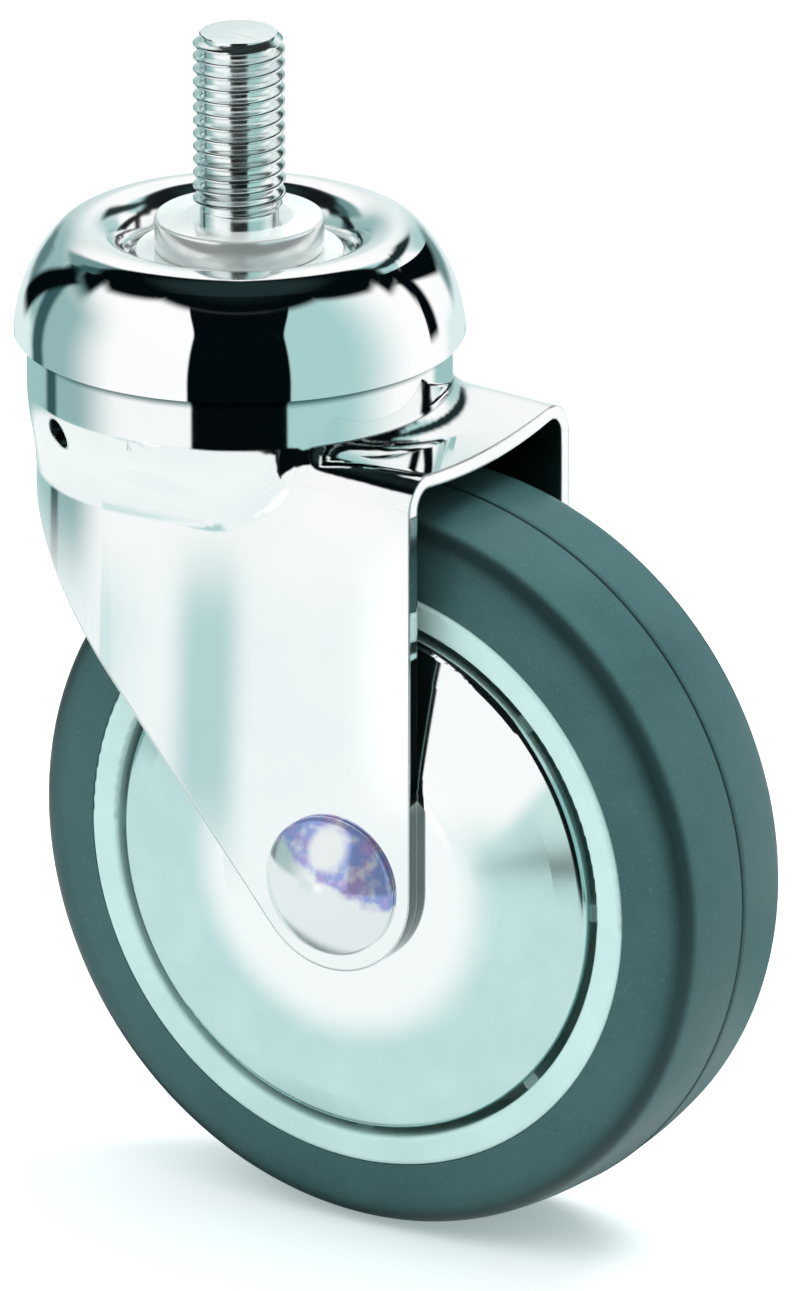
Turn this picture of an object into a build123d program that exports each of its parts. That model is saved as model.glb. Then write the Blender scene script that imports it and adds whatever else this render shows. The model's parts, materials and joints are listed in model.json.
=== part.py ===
from build123d import *
import os
from math import asin, atan2, cos, degrees, floor, hypot, pi, radians, sin, tan

# Swivel castor with a threaded stem, millimetres.
# The origin is on the swivel axis, at the face of the flange that seats against the furniture.
# +Z runs up the stem, +X runs from the swivel axis towards the axle, and the axle lies along Y.
# "near" is the -Y side, which has the bolt's domed head, and "far" is the +Y side, with its nut.

os.makedirs("parts", exist_ok=True)

# ---------------------------------------------------------------- driving dimensions
# whole castor
wheel_diameter = 100.0
tyre_headroom = 5.6
trail = 26.0
running_clearance = 0.08
fit_clearance = 0.02

# threaded stem, made in one piece with its flange and the kingpin below
stem_diameter = 12.0
stem_length = 25.0
stem_chamfer = 1.0
flange_diameter = 22.0
flange_thickness = 4.5
flange_edge = 0.5
kingpin_diameter = 12.0
rivet_head_diameter = 17.0
rivet_head_height = 2.5
rivet_head_rim = 0.8

# stack on the kingpin
stem_washer_gap = 1.1
stem_washer_thickness = 1.5
washer_edge = 0.3
raceway_thickness = 2.5
raceway_edge = 0.6
raceway_inset = 4.1
lower_raceway_land = 3.0
rivet_washer_diameter = 20.0
rivet_washer_thickness = 1.0

# swivel bearing, two rows of loose balls
upper_ball_diameter = 6.0
upper_ball_land = 4.5
lower_ball_diameter = 5.0
lower_ball_standoff = 6.5
race_groove_depth = 1.5
ball_pitch_ratio = 1.04

# dust cap, one stamped shell
cap_sheet = 1.0
cap_head_gap = 0.7
cap_rim_depth = 15.6
cap_rim_edge = 0.4
cap_flare_angle = 2.0
cap_wall_radius = 20.0
cap_crest_radius = 5.5
cap_crest_depth = 1.1

# fork, one piece of pressed sheet
fork_sheet = 2.0
fork_head_diameter = 55.2
fork_head_corner = 4.0
fork_hole_diameter = 17.0
deck_depth = 23.4
deck_slope_angle = 3.0
deck_sag = 1.7
deck_bend = 4.5
deck_root_share = 0.8
shoulder_lead = 0.8
shoulder_share = 1.65
skirt_depth = 34.5
boss_radius = 11.75
jig_hole_diameter = 4.0
jig_hole_depth = 25.2
jig_hole_angle = -118.6

# axle bolt and nut
axle_diameter = 8.0
axle_chamfer = 1.0
axle_head_diameter = 18.8
axle_head_height = 4.2
axle_head_rim = 0.8
axle_tip = 2.0
axle_washer_diameter = 16.0
axle_washer_thickness = 1.6
nut_across_flats = 13.0
nut_height = 6.0
nut_flat_edge = 0.2
nut_bevel = 0.7
nut_collar_diameter = 12.0
nut_collar_height = 2.0
insert_diameter = 10.4
insert_height = 1.7

# wheel bearings, 8 x 22 x 7
bearing_diameter = 22.0
bearing_width = 7.0
inner_ring_diameter = 12.1
outer_ring_bore_diameter = 17.9
bearing_ball_diameter = 4.0
bearing_circle_diameter = 15.0
bearing_ball_count = 7
cage_inner_diameter = 13.5
cage_outer_diameter = 16.5
cage_back_thickness = 2.5
cage_front_thickness = 0.9
shield_thickness = 0.35
shield_inset = 0.15
shield_inner_diameter = 12.9
bearing_spacer_diameter = 12.0
end_spacer_diameter = 12.0
end_spacer_length = 3.0

# wheel: rubber tyre moulded on a plastic core
hub_length = 28.0
hub_diameter = 30.0
hub_shoulder_diameter = 19.0
web_thickness = 3.0
rib_count = 8
rib_thickness = 2.4
rib_recess = 2.5
rim_overhang = 0.3
rim_thickness = 3.8
rim_edge = 0.6
tyre_thickness = 10.0
tyre_key_width = 10.0
tyre_key_height = 3.0
tyre_seat_step = 0.3
tyre_tread_taper = 1.4
tyre_shoulder_drop = 1.4
tyre_shoulder_radius = 4.0

# thread guards, pressed discs held still beside the wheel
guard_sheet = 1.0
guard_rim_gap = 1.2
guard_edge_width = 4.0
guard_flat_diameter = 38.0
guard_flat_bend = 14.0
guard_dish = 2.4
guard_edge_drop = 1.0
guard_lip = 1.5
guard_bend = 1.2

# how far sketches run past the faces that they join or cut
overlap = 1.0
overcut = 1.0

# ---------------------------------------------------------------- derived places
wheel_radius = wheel_diameter / 2
axle_z = -deck_depth - fork_sheet - tyre_headroom - wheel_radius
axle_axis = Axis((trail, 0, axle_z), (0, 1, 0))
side_plane = Plane(origin=(trail, 0, axle_z), x_dir=(1, 0, 0), z_dir=(0, -1, 0))
wheel_section = Plane(origin=(trail, 0, axle_z), x_dir=(0, 1, 0), z_dir=(1, 0, 0))

kingpin_radius = kingpin_diameter / 2
upper_raceway_diameter = fork_head_diameter - 2 * raceway_inset
upper_ball_circle = upper_raceway_diameter - 2 * upper_ball_land
lower_ball_circle = kingpin_diameter + 2 * lower_ball_standoff
lower_raceway_diameter = lower_ball_circle + 2 * lower_raceway_land
cap_rim_diameter = fork_head_diameter + 2 * (cap_sheet + cap_head_gap)
kingpin_bore = kingpin_radius + fit_clearance
washer_top = -flange_thickness
cap_floor_top = washer_top - stem_washer_thickness
upper_race_top = cap_floor_top - cap_sheet
upper_race_bottom = upper_race_top - raceway_thickness
upper_ball_radius = upper_ball_diameter / 2
upper_ball_z = upper_race_bottom - upper_ball_radius + race_groove_depth
head_top = upper_ball_z - upper_ball_radius + race_groove_depth
head_underside = head_top - fork_sheet
lower_ball_radius = lower_ball_diameter / 2
lower_ball_z = head_underside - lower_ball_radius + race_groove_depth
lower_race_top = lower_ball_z - lower_ball_radius + race_groove_depth
lower_race_bottom = lower_race_top - raceway_thickness
rivet_top = lower_race_bottom - rivet_washer_thickness
upper_groove_radius = upper_ball_radius + running_clearance
lower_groove_radius = lower_ball_radius + running_clearance
shoulder_top = shoulder_lead - deck_depth

hub_end = hub_length / 2
guard_inner = hub_end + end_spacer_length
leg_inner = guard_inner + guard_sheet
leg_outer = leg_inner + fork_sheet
front_x = trail + boss_radius
rim_width = hub_length + 2 * rim_overhang
rim_outer_diameter = wheel_diameter - 2 * tyre_thickness
rim_inner_diameter = rim_outer_diameter - 2 * rim_thickness
guard_diameter = rim_inner_diameter - 2 * guard_rim_gap
guard_dish_diameter = guard_diameter - 2 * guard_edge_width
axle_radius = axle_diameter / 2
axle_bore = axle_radius + fit_clearance
nut_seat = leg_outer + axle_washer_thickness


# The cap's wall is a wide arc that stands on the rim, and its crest a small arc on top of it.
wall_centre_r = cap_rim_diameter / 2 - cap_wall_radius * cos(radians(cap_flare_angle))
wall_centre_z = -cap_rim_depth - cap_wall_radius * sin(radians(cap_flare_angle))
crest_offset = cap_wall_radius - cap_crest_radius
crest_centre_z = -cap_crest_depth - cap_crest_radius
crest_turn = asin((crest_centre_z - wall_centre_z) / crest_offset)
crest_centre_r = wall_centre_r + crest_offset * cos(crest_turn)
funnel_turn = asin((cap_floor_top - crest_centre_z) / cap_crest_radius)
cap_floor_radius = crest_centre_r - cap_crest_radius * cos(funnel_turn)
stem_washer_radius = cap_floor_radius - stem_washer_gap


def ring(inner_radius, outer_radius, low, high, edge=0.0):
    """A washer's section in the XZ plane, from one radius to the other."""
    with BuildSketch(Plane.XZ) as section:
        with Locations(((inner_radius + outer_radius) / 2, (low + high) / 2)):
            Rectangle(outer_radius - inner_radius, high - low)
        if edge > 0:
            fillet(section.vertices().group_by(Axis.X)[-1], radius=edge)
    return section.sketch


def dome(diameter, height):
    """Radius of the ball that a low domed head is cut from."""
    return ((diameter / 2) ** 2 + height**2) / (2 * height)


# ---------------------------------------------------------------- stem and the stack on its kingpin
rivet_dome_top = rivet_top - rivet_head_rim
rivet_dome_radius = dome(rivet_head_diameter, rivet_head_height - rivet_head_rim)
with BuildPart() as threaded_stem:
    with BuildSketch(Plane.XZ) as stem_section:
        with BuildLine():
            shank = Polyline(
                (0, stem_length),
                (stem_diameter / 2 - stem_chamfer, stem_length),
                (stem_diameter / 2, stem_length - stem_chamfer),
                (stem_diameter / 2, 0),
                (flange_diameter / 2 - flange_edge, 0),
                (flange_diameter / 2, -flange_edge),
                (flange_diameter / 2, washer_top),
                (kingpin_radius, washer_top),
                (kingpin_radius, rivet_top),
                (rivet_head_diameter / 2, rivet_top),
            )
            rivet_edge = Line(shank @ 1, (rivet_head_diameter / 2, rivet_dome_top))
            rivet_dome = RadiusArc(rivet_edge @ 1, (0, rivet_top - rivet_head_height), rivet_dome_radius)
            Line(rivet_dome @ 1, shank @ 0)
        make_face()
    revolve(axis=Axis.Z)
threaded_stem.part.label = "threaded_stem"

with BuildPart() as stem_washer:
    add(ring(kingpin_bore, stem_washer_radius, cap_floor_top, washer_top, washer_edge))
    revolve(axis=Axis.Z)
stem_washer.part.label = "stem_washer"

with BuildPart() as upper_raceway:
    with BuildSketch(Plane.XZ):
        add(ring(kingpin_bore, upper_raceway_diameter / 2, upper_race_bottom, upper_race_top, raceway_edge))
        with Locations((upper_ball_circle / 2, upper_ball_z)):
            Circle(upper_groove_radius, mode=Mode.SUBTRACT)
    revolve(axis=Axis.Z)
upper_raceway.part.label = "upper_raceway"

with BuildPart() as lower_raceway:
    with BuildSketch(Plane.XZ):
        add(ring(kingpin_bore, lower_raceway_diameter / 2, lower_race_bottom, lower_race_top, raceway_edge))
        with Locations((lower_ball_circle / 2, lower_ball_z)):
            Circle(lower_groove_radius, mode=Mode.SUBTRACT)
    revolve(axis=Axis.Z)
lower_raceway.part.label = "lower_raceway"

with BuildPart() as rivet_washer:
    add(ring(kingpin_bore, rivet_washer_diameter / 2, rivet_top, lower_race_bottom, washer_edge))
    revolve(axis=Axis.Z)
rivet_washer.part.label = "rivet_washer"

# loose balls fill each track with a little room between neighbours
upper_ball_count = floor(pi * upper_ball_circle / (upper_ball_diameter * ball_pitch_ratio))
with BuildPart(Plane.XY.offset(upper_ball_z)) as upper_balls:
    with PolarLocations(upper_ball_circle / 2, upper_ball_count):
        Sphere(upper_ball_radius)
upper_balls.part.label = "upper_balls"

lower_ball_count = floor(pi * lower_ball_circle / (lower_ball_diameter * ball_pitch_ratio))
with BuildPart(Plane.XY.offset(lower_ball_z)) as lower_balls:
    with PolarLocations(lower_ball_circle / 2, lower_ball_count):
        Sphere(lower_ball_radius)
lower_balls.part.label = "lower_balls"

# The cap's floor is clamped round the kingpin. Its funnel climbs over the half-round crest and
# falls away in a wide curve to the rim, which hangs just outside the fork's head.
with BuildPart() as dust_cap:
    with BuildSketch(Plane.XZ) as cap_section:
        with BuildLine():
            CenterArc(
                (wall_centre_r, wall_centre_z),
                cap_wall_radius,
                cap_flare_angle,
                degrees(crest_turn) - cap_flare_angle,
            )
            crest_curve = CenterArc(
                (crest_centre_r, crest_centre_z),
                cap_crest_radius,
                degrees(crest_turn),
                180 - degrees(funnel_turn + crest_turn),
            )
            Line(crest_curve @ 1, (kingpin_bore, cap_floor_top))
            offset(amount=cap_sheet, side=Side.LEFT)
        make_face()
        fillet(cap_section.vertices().group_by(Axis.Y)[0], radius=cap_rim_edge)
    revolve(axis=Axis.Z)
dust_cap.part.label = "dust_cap"

# ---------------------------------------------------------------- fork


def smooth_step(t):
    return t * t * (3 - 2 * t)


shoulder_steps = 3
slot_reach = fork_head_diameter / 2 - leg_outer
shoulder_height = shoulder_share * slot_reach
shoulder_bottom = shoulder_top - shoulder_height
deck_root_radius = deck_root_share * slot_reach
deck_run = front_x + slot_reach
deck_fall = deck_run * tan(radians(deck_slope_angle))
deck_direction = (cos(radians(deck_slope_angle)), 0, -sin(radians(deck_slope_angle)))


def fork_form(inset, run_out=0.0):
    """The fork's outer form, or with an inset of one sheet the space that it encloses.

    A round head widens the narrow channel of the two legs: between them a shoulder turns
    the circle into a slot shape, whose rear half-round goes on down as the skirt.
    """
    head_radius = fork_head_diameter / 2 - inset
    half_width = leg_outer - inset
    form_low = axle_z - boss_radius - overcut
    with BuildPart() as form:
        with BuildSketch(Plane.XY.offset(shoulder_top)):
            SlotCenterToCenter(2 * fit_clearance, 2 * head_radius)
        extrude(amount=head_top - inset - shoulder_top)
        fillet(form.edges().group_by(Axis.Z)[-1], radius=fork_head_corner - inset)
        for step in range(shoulder_steps + 1):
            share = step / shoulder_steps
            blend = smooth_step(share)
            width = head_radius + (half_width - head_radius) * blend
            reach = fit_clearance + (slot_reach - fit_clearance) * blend
            with BuildSketch(Plane.XY.offset(shoulder_top - shoulder_height * share)):
                SlotCenterToCenter(2 * reach, 2 * width)
        loft()
        with BuildSketch(Plane.XY.offset(shoulder_bottom)):
            with Locations((-slot_reach, 0)):
                Circle(half_width)
        extrude(amount=form_low - shoulder_bottom)
        with BuildSketch(Plane.YZ.offset(-slot_reach)):
            deck_level = -deck_depth - inset + deck_fall
            with BuildLine():
                legs = Polyline(
                    (-half_width, deck_level),
                    (-half_width, form_low),
                    (half_width, form_low),
                    (half_width, deck_level),
                )
                SagittaArc(legs @ 1, legs @ 0, deck_sag)
            make_face()
            fillet(vertices().group_by(Axis.Y)[-1], radius=deck_bend - inset)
        extrude(amount=(deck_run + run_out) / cos(radians(deck_slope_angle)), dir=deck_direction)
        roots = (
            form.edges()
            .filter_by(GeomType.BSPLINE)
            .filter_by_position(Axis.X, head_radius / 2, front_x - overcut)
            .filter_by_position(Axis.Z, -deck_depth - inset - deck_bend, shoulder_top)
        )
        fillet(roots, radius=deck_root_radius + inset)
    return form.part


fork_space = fork_form(fork_sheet, run_out=overcut)

# In side view the rear edge is one straight line from the skirt to a tangent on the axle boss.
skirt_x = -fork_head_diameter / 2
skirt_run = trail - skirt_x
skirt_fall = -skirt_depth - axle_z
boss_view = asin(boss_radius / hypot(skirt_run, skirt_fall))
rear_angle = -degrees(atan2(skirt_fall, skirt_run) + boss_view)
boss_start = rear_angle - 90

with BuildPart() as fork:
    add(fork_form(0))
    add(fork_space, mode=Mode.SUBTRACT)
    # ball tracks pressed in the head: one open upwards, one open downwards
    with BuildSketch(Plane.XZ) as upper_bead:
        with Locations((upper_ball_circle / 2, upper_ball_z)):
            Circle(upper_groove_radius + fork_sheet)
        with Locations((upper_ball_circle / 2, head_underside + upper_ball_diameter)):
            Rectangle(4 * upper_ball_diameter, 2 * upper_ball_diameter, mode=Mode.SUBTRACT)
    revolve(axis=Axis.Z)
    with BuildSketch(Plane.XZ) as lower_bead:
        with Locations((lower_ball_circle / 2, lower_ball_z)):
            Circle(lower_groove_radius + fork_sheet)
        with Locations((lower_ball_circle / 2, head_top - lower_ball_diameter)):
            Rectangle(4 * lower_ball_diameter, 2 * lower_ball_diameter, mode=Mode.SUBTRACT)
    revolve(axis=Axis.Z)
    with BuildSketch(Plane.XZ) as ball_tracks:
        with Locations((upper_ball_circle / 2, upper_ball_z)):
            Circle(upper_groove_radius)
        with Locations((lower_ball_circle / 2, lower_ball_z)):
            Circle(lower_groove_radius)
    revolve(axis=Axis.Z, mode=Mode.SUBTRACT)
    # side outline
    with BuildSketch(Plane.XZ) as side_outline:
        with BuildLine():
            boss_curve = CenterArc((trail, axle_z), boss_radius, boss_start, -boss_start)
            Polyline(
                boss_curve @ 1,
                (front_x, 0),
                (skirt_x - overcut, 0),
                (skirt_x - overcut, -skirt_depth - overcut * tan(radians(rear_angle))),
                boss_curve @ 0,
            )
        make_face()
    extrude(amount=fork_head_diameter, both=True, mode=Mode.INTERSECT)
    # kingpin hole, axle holes and the small hole on the shoulder
    with Locations((0, 0, head_top)):
        Hole(fork_hole_diameter / 2, depth=fork_sheet + upper_ball_diameter)
    with BuildSketch(side_plane):
        Circle(axle_radius + running_clearance)
    extrude(amount=leg_outer + overcut, both=True, mode=Mode.SUBTRACT)
    jig_direction = (cos(radians(jig_hole_angle)), sin(radians(jig_hole_angle)), 0)
    with BuildSketch(Plane(origin=(0, 0, -jig_hole_depth), z_dir=jig_direction)):
        Circle(jig_hole_diameter / 2)
    extrude(amount=fork_head_diameter, mode=Mode.SUBTRACT)
fork.part.label = "fork"

# ---------------------------------------------------------------- axle
with BuildPart() as axle_bolt:
    with BuildSketch(wheel_section):
        tip = nut_seat + nut_height + nut_collar_height + axle_tip
        with BuildLine():
            bolt_line = Polyline(
                (-leg_outer - axle_head_height, 0),
                (tip, 0),
                (tip, axle_radius - axle_chamfer),
                (tip - axle_chamfer, axle_radius),
                (-leg_outer, axle_radius),
                (-leg_outer, axle_head_diameter / 2),
                (-leg_outer - axle_head_rim, axle_head_diameter / 2),
            )
            head_dome_radius = dome(axle_head_diameter, axle_head_height - axle_head_rim)
            RadiusArc(bolt_line @ 1, bolt_line @ 0, -head_dome_radius)
        make_face()
    revolve(axis=axle_axis)
axle_bolt.part.label = "axle_bolt"

with BuildPart() as axle_washer:
    with BuildSketch(side_plane.offset(-leg_outer)):
        Circle(axle_washer_diameter / 2)
        Circle(axle_bore, mode=Mode.SUBTRACT)
    extrude(amount=-axle_washer_thickness)
    chamfer(axle_washer.edges().filter_by(GeomType.CIRCLE).group_by(Axis.Y)[-1][-1], length=washer_edge)
axle_washer.part.label = "axle_washer"

with BuildPart() as axle_nut:
    with BuildSketch(side_plane.offset(-nut_seat)):
        RegularPolygon(nut_across_flats / 2, 6, major_radius=False)
    extrude(amount=-nut_height)
    # both ends of the hexagon are turned to a cone
    with BuildSketch(wheel_section):
        corner_radius = nut_across_flats / 2 / cos(pi / 6)
        flat_radius = nut_across_flats / 2 - nut_flat_edge
        with BuildLine():
            Polyline(
                (nut_seat, 0),
                (nut_seat + nut_height, 0),
                (nut_seat + nut_height, flat_radius),
                (nut_seat + nut_height - nut_bevel, corner_radius),
                (nut_seat + nut_bevel, corner_radius),
                (nut_seat, flat_radius),
                close=True,
            )
        make_face()
    revolve(axis=axle_axis, mode=Mode.INTERSECT)
    with BuildSketch(side_plane.offset(-nut_seat - nut_height)):
        Circle(nut_collar_diameter / 2)
    extrude(amount=-nut_collar_height)
    with BuildSketch(side_plane.offset(-nut_seat - nut_height - nut_collar_height)):
        Circle(insert_diameter / 2)
    extrude(amount=insert_height, mode=Mode.SUBTRACT)
    with BuildSketch(side_plane.offset(-nut_seat)):
        Circle(axle_bore)
    extrude(amount=-nut_height - nut_collar_height, mode=Mode.SUBTRACT)
axle_nut.part.label = "axle_nut"

with BuildPart() as nut_insert:
    with BuildSketch(side_plane.offset(-nut_seat - nut_height - nut_collar_height)):
        Circle(insert_diameter / 2 - fit_clearance)
        Circle(axle_bore, mode=Mode.SUBTRACT)
    extrude(amount=insert_height)
nut_insert.part.label = "nut_insert"

with BuildPart() as bearing_spacer:
    with BuildSketch(side_plane):
        Circle(bearing_spacer_diameter / 2)
        Circle(axle_bore, mode=Mode.SUBTRACT)
    extrude(amount=hub_end - bearing_width, both=True)
bearing_spacer.part.label = "bearing_spacer"

# ---------------------------------------------------------------- wheel
with BuildPart() as wheel_core:
    with BuildSketch(wheel_section) as core_section:
        with Locations((0, (rim_inner_diameter + rim_outer_diameter) / 4)):
            Rectangle(rim_width, (rim_outer_diameter - rim_inner_diameter) / 2)
        fillet(core_section.vertices(), radius=rim_edge)
        with Locations((0, rim_outer_diameter / 2 + tyre_key_height / 2 - rim_edge)):
            Rectangle(tyre_key_width, tyre_key_height + 2 * rim_edge)
        with Locations((0, (hub_diameter + rim_inner_diameter) / 4)):
            Rectangle(web_thickness, (rim_inner_diameter - hub_diameter) / 2 + 2 * overlap)
        with Locations((0, hub_diameter / 4)):
            Rectangle(hub_length, hub_diameter / 2)
    revolve(axis=axle_axis)
    rib_length = (rim_inner_diameter - hub_diameter) / 2 + 2 * rim_edge
    with BuildSketch(side_plane):
        with PolarLocations((rim_inner_diameter + hub_diameter) / 4, rib_count):
            Rectangle(rib_length, rib_thickness)
    extrude(amount=hub_end - rib_recess, both=True)
    with BuildSketch(wheel_section):
        with Locations((0, hub_shoulder_diameter / 4)):
            Rectangle(hub_length + 2 * overcut, hub_shoulder_diameter / 2)
        seat_radius = bearing_diameter / 2 + fit_clearance
        for side in (-1, 1):
            with Locations((side * (hub_end - bearing_width / 2 + overcut / 2), seat_radius / 2)):
                Rectangle(bearing_width + overcut, seat_radius)
    revolve(axis=axle_axis, mode=Mode.SUBTRACT)
wheel_core.part.label = "wheel_core"

with BuildPart() as tyre:
    with BuildSketch(wheel_section) as tyre_section:
        seat_radius = rim_outer_diameter / 2 + fit_clearance
        shoulder_radius = wheel_radius - tyre_shoulder_drop
        seat_y = rim_width / 2 - tyre_seat_step
        tread_y = seat_y - tyre_tread_taper
        with BuildLine():
            seat_line = Polyline(
                (-tread_y, shoulder_radius),
                (-seat_y, seat_radius),
                (seat_y, seat_radius),
                (tread_y, shoulder_radius),
            )
            ThreePointArc(seat_line @ 1, (0, wheel_radius), seat_line @ 0)
        make_face()
        shoulders = tyre_section.vertices().group_by(Axis.Y)[-1]
        fillet(shoulders, radius=tyre_shoulder_radius)
        with Locations((0, rim_outer_diameter / 2 + tyre_key_height / 2)):
            Rectangle(
                tyre_key_width + 2 * fit_clearance,
                tyre_key_height + 2 * fit_clearance,
                mode=Mode.SUBTRACT,
            )
    revolve(axis=axle_axis)
tyre.part.label = "tyre"

# ---------------------------------------------------------------- pieces on each side of the wheel
export_list = [
    threaded_stem,
    stem_washer,
    dust_cap,
    upper_raceway,
    upper_balls,
    lower_balls,
    lower_raceway,
    rivet_washer,
    fork,
    axle_bolt,
    axle_washer,
    axle_nut,
    nut_insert,
    bearing_spacer,
    wheel_core,
    tyre,
]

bearing_middle = hub_end - bearing_width / 2
ball_groove = bearing_ball_diameter / 2 + running_clearance
for side, side_name in ((-1, "near"), (1, "far")):
    with BuildPart() as thread_guard:
        with BuildSketch(wheel_section):
            edge_y = leg_inner - guard_dish - guard_edge_drop
            with BuildLine():
                FilletPolyline(
                    (side * leg_inner, axle_bore),
                    (side * leg_inner, guard_flat_diameter / 2),
                    (side * (leg_inner - guard_dish), guard_dish_diameter / 2),
                    (side * edge_y, guard_diameter / 2),
                    (side * (edge_y - guard_lip), guard_diameter / 2),
                    radius=(guard_flat_bend, guard_bend, guard_bend),
                )
                offset(amount=guard_sheet, side=Side.LEFT if side > 0 else Side.RIGHT)
            make_face()
        revolve(axis=axle_axis)
    thread_guard.part.label = "thread_guard_" + side_name

    with BuildPart() as end_spacer:
        with BuildSketch(side_plane.offset(-side * hub_end)):
            Circle(end_spacer_diameter / 2)
            Circle(axle_bore, mode=Mode.SUBTRACT)
        extrude(amount=-side * (guard_inner - hub_end))
    end_spacer.part.label = "end_spacer_" + side_name

    with BuildPart() as inner_ring:
        with BuildSketch(wheel_section):
            with Locations((side * bearing_middle, (axle_bore + inner_ring_diameter / 2) / 2)):
                Rectangle(bearing_width, inner_ring_diameter / 2 - axle_bore)
            with Locations((side * bearing_middle, bearing_circle_diameter / 2)):
                Circle(ball_groove, mode=Mode.SUBTRACT)
        revolve(axis=axle_axis)
    inner_ring.part.label = "inner_ring_" + side_name

    with BuildPart() as outer_ring:
        with BuildSketch(wheel_section):
            with Locations((side * bearing_middle, (outer_ring_bore_diameter + bearing_diameter) / 4)):
                Rectangle(bearing_width, (bearing_diameter - outer_ring_bore_diameter) / 2)
            with Locations((side * bearing_middle, bearing_circle_diameter / 2)):
                Circle(ball_groove, mode=Mode.SUBTRACT)
        revolve(axis=axle_axis)
    outer_ring.part.label = "outer_ring_" + side_name

    with BuildPart(side_plane.offset(-side * bearing_middle)) as bearing_balls:
        with PolarLocations(bearing_circle_diameter / 2, bearing_ball_count):
            Sphere(bearing_ball_diameter / 2)
    bearing_balls.part.label = "bearing_balls_" + side_name

    # crown cage: a ring with one open pocket for each ball
    with BuildPart() as ball_cage:
        with BuildSketch(side_plane.offset(-side * (bearing_middle - cage_back_thickness))):
            Circle(cage_outer_diameter / 2)
            Circle(cage_inner_diameter / 2, mode=Mode.SUBTRACT)
        extrude(amount=-side * (cage_back_thickness + cage_front_thickness))
        with Locations(side_plane.offset(-side * bearing_middle)):
            with PolarLocations(bearing_circle_diameter / 2, bearing_ball_count):
                Sphere(ball_groove, mode=Mode.SUBTRACT)
    ball_cage.part.label = "ball_cage_" + side_name

    # one thin shield at each face of the bearing
    with BuildPart() as bearing_shields:
        for face_y in (hub_end - shield_inset, hub_end - bearing_width + shield_inset + shield_thickness):
            with BuildSketch(side_plane.offset(-side * face_y)):
                Circle(outer_ring_bore_diameter / 2 - fit_clearance)
                Circle(shield_inner_diameter / 2, mode=Mode.SUBTRACT)
            extrude(amount=side * shield_thickness)
    bearing_shields.part.label = "bearing_shields_" + side_name

    export_list += [
        thread_guard,
        end_spacer,
        inner_ring,
        outer_ring,
        bearing_balls,
        ball_cage,
        bearing_shields,
    ]

for piece in export_list:
    export_step(piece.part, "parts/" + piece.part.label + ".step")
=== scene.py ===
import json
from math import atan2, cos, pi, radians, sin, sqrt

import bmesh
import bpy
from mathutils import Matrix, Vector


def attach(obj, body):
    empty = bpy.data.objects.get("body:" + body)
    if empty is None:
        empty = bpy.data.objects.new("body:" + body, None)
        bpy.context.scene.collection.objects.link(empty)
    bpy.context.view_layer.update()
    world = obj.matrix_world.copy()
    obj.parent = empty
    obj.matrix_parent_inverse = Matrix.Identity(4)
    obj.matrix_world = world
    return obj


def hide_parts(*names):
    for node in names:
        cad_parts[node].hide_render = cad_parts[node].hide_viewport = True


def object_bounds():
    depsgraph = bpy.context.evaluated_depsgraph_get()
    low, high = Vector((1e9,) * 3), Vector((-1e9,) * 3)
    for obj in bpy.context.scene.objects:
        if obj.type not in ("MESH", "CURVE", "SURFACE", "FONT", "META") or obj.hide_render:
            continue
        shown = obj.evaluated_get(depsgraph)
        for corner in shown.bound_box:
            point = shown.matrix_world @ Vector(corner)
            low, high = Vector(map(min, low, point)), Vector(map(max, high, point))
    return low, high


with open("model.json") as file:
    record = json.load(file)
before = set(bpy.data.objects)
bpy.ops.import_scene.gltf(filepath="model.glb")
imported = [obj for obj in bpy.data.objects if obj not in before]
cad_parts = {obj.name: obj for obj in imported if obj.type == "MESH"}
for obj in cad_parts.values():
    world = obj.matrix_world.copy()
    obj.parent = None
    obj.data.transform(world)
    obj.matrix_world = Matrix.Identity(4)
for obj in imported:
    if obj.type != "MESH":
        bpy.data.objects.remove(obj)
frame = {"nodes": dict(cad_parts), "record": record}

# Swivel castor: looks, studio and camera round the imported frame. Metres; lengths named in
# millimetres are multiplied by MM. The origin is on the swivel axis at the flange's top face.
cad_low, cad_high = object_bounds()
scene = bpy.context.scene
MM = 0.001

# places shared with the frame, millimetres: the axle's line, and the outer faces of the legs
AXLE_X, AXLE_Z = 26.0, -81.0
LEG_OUTER = 20.0

# ---------------------------------------------------------------- camera
# BACK points from the castor to the camera, RIGHT to the right of the picture
RIGHT_X, RIGHT_Y = 0.8556, 0.5177
BACK = Vector((0.4865, -0.8039, 0.3423)).normalized()
RIGHT = Vector((RIGHT_X, RIGHT_Y, 0.0)).normalized()
UP = BACK.cross(RIGHT).normalized()
CAMERA_PLACE = (1.3359, -2.1676, 0.8683)
LENS, SENSOR = 580.7, 36.0
CLIP_START, CLIP_END = 0.05, 50.0
camera_data = bpy.data.cameras.new("camera")
camera_data.lens = LENS
camera_data.sensor_width = SENSOR
camera_data.sensor_fit = "AUTO"
camera_data.clip_start = CLIP_START
camera_data.clip_end = CLIP_END
camera = bpy.data.objects.new("camera", camera_data)
camera.matrix_world = Matrix((
    (RIGHT.x, UP.x, BACK.x, CAMERA_PLACE[0]),
    (RIGHT.y, UP.y, BACK.y, CAMERA_PLACE[1]),
    (RIGHT.z, UP.z, BACK.z, CAMERA_PLACE[2]),
    (0, 0, 0, 1),
))
scene.collection.objects.link(camera)
scene.camera = camera
scene.view_settings.view_transform = "Standard"
VIEW_TURN = atan2(BACK.y, BACK.x)


# ---------------------------------------------------------------- node helpers
def rgb(r, g, b):
    return (r, g, b, 1.0)


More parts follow.
